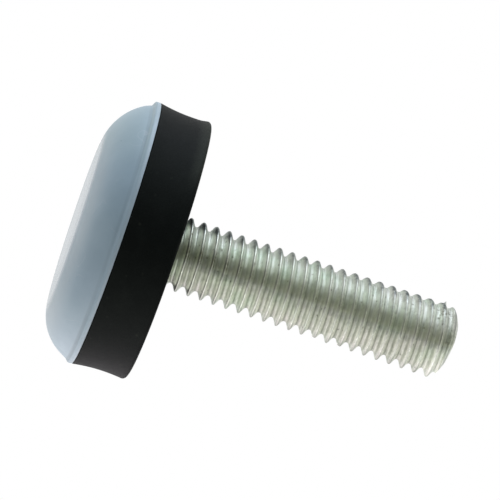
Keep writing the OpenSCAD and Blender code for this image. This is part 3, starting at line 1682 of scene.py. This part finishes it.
    def _strip(self) -> bmesh.types.BMesh:
        """Winds a strip one pitch wide once round, and stacks copies of that turn up the stud.

        Returns:
            The wound strip, open at both ends.
        """
        below = math.ceil((self.phase_z - self.sizes.seat_z + self.neck) / self.pitch) + 1
        start = self.phase_z - (below + 0.5) * self.pitch
        turns = math.ceil((self.sizes.tip_z - start) / self.pitch) + 1
        shell = bmesh.new()
        outline = line((self.sizes.crest_r, start), (self.sizes.crest_r, start + self.pitch), self.rows)
        outline.append(Vector((self.sizes.crest_r, 0.0, start + self.pitch)))
        verts = [shell.verts.new(point) for point in outline]
        edges = [shell.edges.new(pair) for pair in zip(verts, verts[1:])]
        bmesh.ops.spin(
            shell,
            geom=verts + edges,
            cent=(0.0, 0.0, 0.0),
            axis=(0.0, 0.0, 1.0),
            dvec=(0.0, 0.0, self.pitch / self.columns),
            angle=FULL_TURN,
            steps=self.columns,
            use_merge=False,
        )
        one_turn = [*shell.verts, *shell.edges, *shell.faces]
        for turn in range(1, turns):
            copy = bmesh.ops.duplicate(shell, geom=one_turn)["geom"]
            moved = [item for item in copy if isinstance(item, bmesh.types.BMVert)]
            bmesh.ops.translate(shell, verts=moved, vec=(0.0, 0.0, turn * self.pitch))
        bmesh.ops.remove_doubles(shell, verts=shell.verts, dist=STACK_WELD)
        return shell

    def _shape(
        self, vert: bmesh.types.BMVert, groove: bmesh.types.BMLayerItem, neck_z: float
    ) -> None:
        """Puts one point of the wound strip on the thread.

        Args:
            vert: The point.
            groove: The layer that takes its depth below the crest.
            neck_z: Height at which the thread has run out into the shank.
        """
        bearing = math.atan2(vert.co.y, vert.co.x)
        turns = self.turns_up(vert.co)
        crest = self.crest_round(vert.co.z)
        top_r = self.thread_r(0.0, crest)
        depth = top_r - self.thread_r(turns - round(turns), crest)
        vert[groove] = min(depth / (self.depth_share * self.full_depth), 1.0)
        radius = top_r - depth * self.groove_share(vert.co.z, bearing)
        radius += self.swell * self.fullness(vert.co.z, self.swell_start)
        radius = soft_min(radius, self.dent_r(vert.co.z, bearing), self.dent_blend)
        radius += self.unevenness * noise.noise(vert.co / self.uneven_width)
        out = eased((vert.co.z - neck_z) / (self.neck_rise * self.neck))
        radius = self.shank_r + (radius - self.shank_r) * out
        radius = soft_min(radius, self.lead_r(vert.co.z), self.lead_blend)
        vert.co.x = radius * math.cos(bearing)
        vert.co.y = radius * math.sin(bearing)

    @staticmethod
    def _even_poles(shell: bmesh.types.BMesh, groove: bmesh.types.BMLayerItem) -> None:
        """Gives the two points on the axis the mean groove depth of the ring round them.

        Args:
            shell: The stud's mesh.
            groove: The layer that holds the depths.
        """
        for vert in shell.verts:
            if math.hypot(vert.co.x, vert.co.y) < WELD:
                ring = [edge.other_vert(vert)[groove] for edge in vert.link_edges]
                vert[groove] = sum(ring) / len(ring)

    def _lean_over(self, shell: bmesh.types.BMesh) -> None:
        """Leans the stud a little towards +X, as it was set in the rubber.

        Args:
            shell: The stud's mesh.
        """
        middle = 0.5 * (self.sizes.seat_z + self.sizes.tip_z)
        for vert in shell.verts:
            vert.co.x += self.lean * (vert.co.z - middle)

    def _raise_burr(self, shell: bmesh.types.BMesh) -> None:
        """Raises the burr that a knock left beside the last crest, on the -X side.

        Args:
            shell: The stud's mesh.
        """
        wide, high = self.burr_reach
        for vert in shell.verts:
            if vert.co.x > 0.0:
                continue
            off_middle = math.hypot(vert.co.y / wide, (vert.co.z - self.burr_z) / high)
            vert.co.x -= self.burr_h * eased(1.0 - off_middle)

    def _cut_end(self, shell: bmesh.types.BMesh) -> None:
        """Leaves the end a little out of square: lower on the +X side, fuller on the other.

        Args:
            shell: The stud's mesh.
        """
        for vert in shell.verts:
            near_end = eased(1.0 - (self.sizes.tip_z - vert.co.z) / self.lead_len)
            side = vert.co.x / self.sizes.crest_r
            cut = eased(self.end_cut_middle + self.end_cut_slope * side)
            vert.co.z -= self.end_cut * near_end * cut
            vert.co.x -= self.end_proud * near_end * eased(-self.end_proud_slope * side)

    def _unwind(self, shell: bmesh.types.BMesh) -> None:
        """Lays out a UV map in millimetres: U runs along the thread and V across it.

        Args:
            shell: The stud's mesh.
        """
        path = shell.loops.layers.uv.new(self.PATH)
        per_turn = FULL_TURN * self.shank_r / MM
        for face in shell.faces:
            middle = face.calc_center_median()
            winding = round(self.turns_up(middle))
            bearing = math.atan2(middle.y, middle.x) % FULL_TURN
            for loop in face.loops:
                point = loop.vert.co
                turn = (math.atan2(point.y, point.x) - bearing + math.pi) % FULL_TURN - math.pi
                turns = winding + (bearing + turn) / FULL_TURN
                across = (point.z - self.phase_z) / self.pitch - turns
                loop[path].uv = (turns * per_turn, across * self.pitch / MM)

    @staticmethod
    def _trim(shell: bmesh.types.BMesh, z: float, keep_above: bool) -> None:
        """Cuts the shell square at a height and drops one side.

        Args:
            shell: The mesh to cut.
            z: The height of the cut.
            keep_above: Whether the part above it stays.
        """
        bmesh.ops.bisect_plane(
            shell,
            geom=[*shell.verts, *shell.edges, *shell.faces],
            dist=WELD,
            plane_co=(0.0, 0.0, z),
            plane_no=(0.0, 0.0, 1.0),
            clear_inner=keep_above,
            clear_outer=not keep_above,
        )


# ---------------------------------------------------------------------------------------------
# Studio
# ---------------------------------------------------------------------------------------------


@dataclass
class CatalogueCamera:
    """A long lens that looks slightly up from below the sliding face and is rolled on its side."""

    lens: float = 216.0
    sensor: float = 36.0
    distance: float = 316.8 * MM
    look_up: float = 5.757
    roll: float = 108.477
    aim: Vector = field(default_factory=lambda: Vector((-2.784, 0.0, 18.585)) * MM)
    clip: Range = (10.0 * MM, 10.0)

    def build(self) -> bpy.types.Object:
        """Makes the camera and hands it to the scene.

        Returns:
            The camera.
        """
        data = bpy.data.cameras.new("catalogue_camera")
        data.lens = self.lens
        data.sensor_width = self.sensor
        data.clip_start, data.clip_end = self.clip
        made = bpy.data.objects.new("catalogue_camera", data)
        bpy.context.scene.collection.objects.link(made)
        rise, roll = math.radians(self.look_up), math.radians(self.roll)
        forward = Vector((0.0, math.cos(rise), math.sin(rise)))
        level = Vector((1.0, 0.0, 0.0))
        upright = level.cross(forward)
        right = level * math.cos(roll) + upright * math.sin(roll)
        above = upright * math.cos(roll) - level * math.sin(roll)
        turn = Matrix((right, above, -forward)).transposed()
        made.matrix_world = Matrix.Translation(self.aim - forward * self.distance) @ turn.to_4x4()
        bpy.context.scene.camera = made
        return made


@dataclass
class SoftBox:
    """A soft lamp that faces the glide."""

    name: str
    place: Vector
    width: float
    power: float
    tint: Colour = WHITE

    def build(self, target: Vector) -> bpy.types.Object:
        """Makes the lamp.

        Args:
            target: The point that it faces.

        Returns:
            The lamp.
        """
        data = bpy.data.lights.new(self.name, "AREA")
        data.shape = "SQUARE"
        data.size = self.width
        data.energy = self.power
        data.color = self.tint
        made = bpy.data.objects.new(self.name, data)
        bpy.context.scene.collection.objects.link(made)
        made.location = self.place
        made.rotation_mode = "QUATERNION"
        made.rotation_quaternion = (target - self.place).to_track_quat("-Z", "Y")
        return made


@dataclass
class Studio:
    """A pale floor, white surroundings, soft lamps and a dark flag behind the camera."""

    floor_half: float = 1.5
    floor_drop: float = 0.02 * MM
    floor_tone: Colour = (0.86, 0.86, 0.86)
    floor_paled: float = 0.45
    ambient: float = 0.28
    flag_half_w: float = 0.30
    flag_half_h: float = 0.52
    flag_back: float = 0.46
    flag_turn: float = -12.0
    flag_tone: Colour = (0.02, 0.02, 0.02)

    def build(self, target: Vector) -> None:
        """Makes the whole studio.

        Args:
            target: The point that the lamps face.
        """
        self._world()
        self._floor()
        self._flag(target)
        for lamp in self._lamps():
            lamp.build(target)
        view = bpy.context.scene.view_settings
        view.view_transform = "Standard"

    def _lamps(self) -> list[SoftBox]:
        """The soft boxes, one to each side."""
        return [
            SoftBox("side_box_cool", Vector((-0.55, 0.06, 0.00)), 0.36, 1.82, (0.735, 0.79, 1.0)),
            SoftBox("front_box_cool", Vector((-0.50, -0.24, 0.00)), 0.36, 1.27, (0.81, 0.93, 1.0)),
            SoftBox("side_box_warm", Vector((0.60, -0.15, -0.10)), 0.90, 3.5, (0.955, 0.935, 1.0)),
            SoftBox("front_box_warm", Vector((0.46, -0.30, 0.10)), 0.40, 0.32, (1.0, 1.0, 0.88)),
            SoftBox("back_box_warm", Vector((0.45, 0.32, -0.10)), 0.50, 1.17, (1.0, 0.86, 0.96)),
            SoftBox("low_box_warm", Vector((0.0, 0.30, -0.52)), 0.40, 1.17, (1.0, 0.975, 0.94)),
        ]

    def _world(self) -> None:
        """White where the camera and mirrors look, and a plain soft level for the rest."""
        world = bpy.data.worlds.new("studio_world")
        world.use_nodes = True
        bpy.context.scene.world = world
        sheet = ShaderSheet(world.node_tree)
        seen = sheet.ray("Is Camera Ray") + sheet.ray("Is Glossy Ray")
        seen = seen + sheet.ray("Is Transmission Ray")
        colour = opaque(WHITE)
        plain = sheet.node("ShaderNodeBackground", None, {"Color": colour, "Strength": self.ambient})
        white = sheet.node("ShaderNodeBackground", None, {"Color": colour, "Strength": 1.0})
        mixed = sheet.mix_shaders(seen, plain, white)
        sheet.node("ShaderNodeOutputWorld", None, {"Surface": mixed.outputs[0]})

    def _floor(self) -> None:
        """A pale floor with one face: it is solid from above and clear from below."""
        material = new_material("studio_floor")
        sheet = ShaderSheet(material.node_tree)
        back = sheet.node("ShaderNodeNewGeometry").outputs["Backfacing"]
        lit = sheet.node("ShaderNodeBsdfDiffuse", None, {"Color": opaque(self.floor_tone)})
        pale = sheet.node("ShaderNodeEmission", None, {"Color": opaque(WHITE), "Strength": 1.0})
        solid = sheet.mix_shaders(self.floor_paled * sheet.ray("Is Camera Ray"), lit, pale)
        mixed = sheet.mix_shaders(back, solid, sheet.node("ShaderNodeBsdfTransparent"))
        sheet.node("ShaderNodeOutputMaterial", None, {"Surface": mixed.outputs[0]})
        floor = self._sheet_object("studio_floor", (self.floor_half, self.floor_half), material)
        floor.location.z = -self.floor_drop
        floor.visible_shadow = False
        floor.visible_diffuse = False
        floor.visible_glossy = False

    def _flag(self, target: Vector) -> None:
        """Makes a dark card behind the camera, which darkens what faces it and doesn't show itself.

        Args:
            target: The point that gives the height of its middle.
        """
        material = new_material("studio_flag")
        sheet = ShaderSheet(material.node_tree)
        dark = sheet.node("ShaderNodeBsdfDiffuse", None, {"Color": opaque(self.flag_tone)})
        sheet.node("ShaderNodeOutputMaterial", None, {"Surface": dark.outputs[0]})
        flag = self._sheet_object("studio_flag", (self.flag_half_w, self.flag_half_h), material)
        turn = Matrix.Rotation(math.radians(self.flag_turn), 4, "Z")
        upright = Matrix.Rotation(math.radians(90.0), 4, "X")
        flag.matrix_world = turn @ Matrix.Translation((0.0, -self.flag_back, target.z)) @ upright
        flag.visible_camera = False

    @staticmethod
    def _sheet_object(
        name: str, half: tuple[float, float], material: bpy.types.Material
    ) -> bpy.types.Object:
        """Makes a flat oblong that isn't part of the glide.

        Args:
            name: Its name.
            half: Half its width and half its depth.
            material: Its finish.

        Returns:
            The object.
        """
        shell = bmesh.new()
        bmesh.ops.create_grid(shell, x_segments=1, y_segments=1, size=1.0)
        bmesh.ops.scale(shell, verts=shell.verts, vec=(*half, 1.0))
        mesh = bpy.data.meshes.new(name)
        shell.to_mesh(mesh)
        shell.free()
        mesh.materials.append(material)
        made = bpy.data.objects.new(name, mesh)
        bpy.context.scene.collection.objects.link(made)
        return made


def stand_in(made: bpy.types.Object, piece: Piece) -> None:
    """Puts a dressed piece in the place of its solid, and reports it.

    Args:
        made: The dressed piece.
        piece: The solid that it stands for.
    """
    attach(made, "root")
    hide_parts(piece.value)
    LOG.info("%s: %d faces", piece.value, len(made.data.polygons))


def main() -> None:
    """Builds the glide round its solids, and the studio round the glide."""
    logging.basicConfig(level=logging.INFO, format="%(name)s: %(message)s")
    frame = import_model()
    sizes = GlideSizes.from_frame(frame["record"])
    camera = CatalogueCamera()
    camera.build()

    head = StudHead()
    stud = ThreadedStud(sizes, head)
    stand_in(stud.build(ZincPlate().material()), Piece.STUD)
    stand_in(SlidePad(sizes).build(PadPlastic().material()), Piece.PAD)
    cushion = RubberCushion(sizes, head, stud.shank_r)
    stand_in(cushion.build(CushionRubber().material()), Piece.CUSHION)

    Studio().build(camera.aim)


if __name__ == "__main__":
    main()
